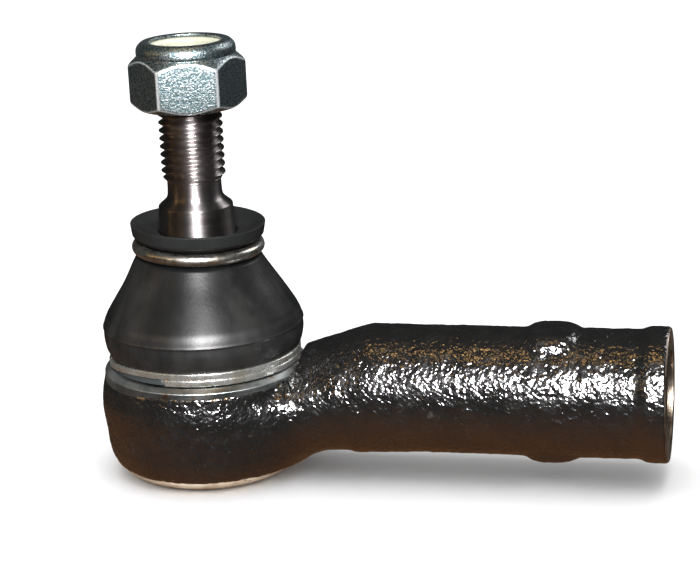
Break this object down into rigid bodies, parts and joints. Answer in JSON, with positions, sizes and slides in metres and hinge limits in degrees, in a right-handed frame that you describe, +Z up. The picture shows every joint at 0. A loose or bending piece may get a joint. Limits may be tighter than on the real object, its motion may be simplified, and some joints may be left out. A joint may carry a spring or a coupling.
{
  "type": "outer tie rod end",
  "caption": "Outer tie rod end: forged ball joint housing with a female threaded shank, tapered ball stud, rubber dust boot with clamp rings and a self-locking nut.",
  "frame": {"origin": "centre of the closing plate's flat under face, on the ball stud's axis at the bottom of the housing", "axes": "+Z up along the ball stud at rest, +X from the ball joint along the threaded shank, +Y to the side"},
  "size_m": [0.1073, 0.0396, 0.0819],
  "materials": {
    "black_painted_forging": "gloss black paint over a rough forging",
    "burnished_stud_steel": "burnished",
    "acetal_seat": "satin",
    "spring_steel": "satin",
    "pressed_steel_plate": "satin",
    "black_rubber": "satin-matte",
    "tempered_ring_wire": "bright, straw tempered",
    "bright_flat_wire": "bright",
    "zinc_plated_steel": "zinc plated, finely speckled",
    "pale_nylon": "satin, slightly translucent"
  },
  "bodies": {
    "housing": {"housing": "black_painted_forging", "upper_ball_seat": "acetal_seat", "lower_ball_seat": "acetal_seat", "preload_spring": "spring_steel", "closing_plate": "pressed_steel_plate"},
    "boot": {"dust_boot": "black_rubber", "boot_lower_ring": "bright_flat_wire"},
    "boot_top": {"boot_upper_ring": "tempered_ring_wire"},
    "stud": {"ball_stud": "burnished_stud_steel"},
    "nut_carrier": {"nylon_insert": "pale_nylon"},
    "nut": {"lock_nut": "zinc_plated_steel"}
  },
  "joints": [
    {"name": "boot_turn", "type": "hinge", "parent": "housing", "child": "boot", "pos_m": [0, 0, 0.014], "axis": [0, 0, 1], "continuous": true},
    {"name": "stud_tilt", "type": "hinge", "parent": "boot", "child": "boot_top", "pos_m": [0, 0, 0.014], "axis": [0, 1, 0], "range_deg": [-22, 22], "deforming": ["dust_boot"]},
    {"name": "stud_spin", "type": "hinge", "parent": "boot_top", "child": "stud", "pos_m": [0, 0, 0.014], "axis": [0, 0, 1], "continuous": true},
    {"name": "nut_travel", "type": "slide", "parent": "stud", "child": "nut_carrier", "axis": [0, 0, 1], "range_m": [-0.0113, 0.0061]},
    {"name": "nut_turn", "type": "hinge", "parent": "nut_carrier", "child": "nut", "pos_m": [0, 0, 0.075], "axis": [0, 0, 1], "range_deg": [-2700, 1440]}
  ],
  "couplings": [
    {"joint": "nut_travel", "follows": "nut_turn", "m_per_rad": 0.00023873}
  ]
}
